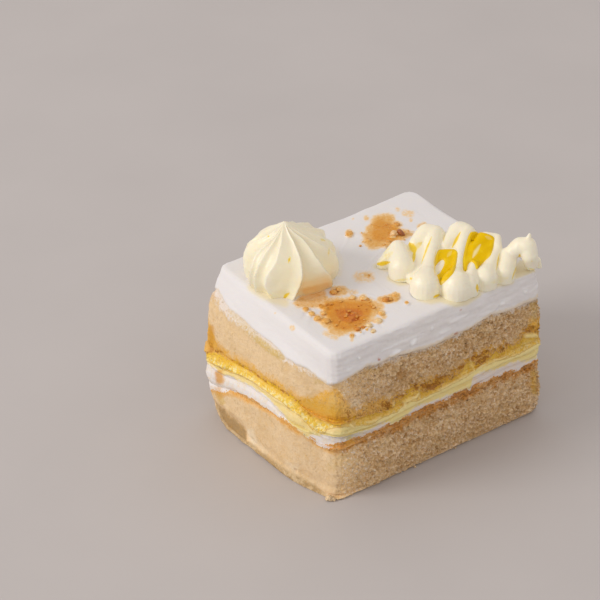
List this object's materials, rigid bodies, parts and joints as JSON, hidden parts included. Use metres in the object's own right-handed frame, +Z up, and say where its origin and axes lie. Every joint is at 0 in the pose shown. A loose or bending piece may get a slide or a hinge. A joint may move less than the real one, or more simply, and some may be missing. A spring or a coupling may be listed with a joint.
{
  "type": "layered cream cake slice",
  "caption": "Rectangular slice of layered sponge with cream and fruit filling, white icing, praline patches, a piped star and a piped ruffle with yellow glaze.",
  "frame": {"origin": "bottom centre of the bounding box, on the surface the slice stands on", "axes": "+X along the long cut face, +Y from that face to the back, +Z up"},
  "size_m": [0.0882, 0.066, 0.0734],
  "materials": {
    "sponge": "open golden crumb, dull",
    "white_cream": "soft white cream, faint sheen",
    "yellow_cream": "smooth pale yellow cream, faint sheen",
    "fruit_filling": "moist deep yellow fruit filling",
    "icing": "smooth white icing with caramel stained praline",
    "piped_cream": "smooth pale yellow piped cream"
  },
  "bodies": {
    "root": {"lower_sponge": "sponge", "white_cream": "white_cream", "yellow_cream": "yellow_cream", "fruit_filling": "fruit_filling", "upper_sponge": "sponge", "icing": "icing", "piped_star": "piped_cream", "piped_ruffle": "piped_cream"}
  },
  "joints": []
}
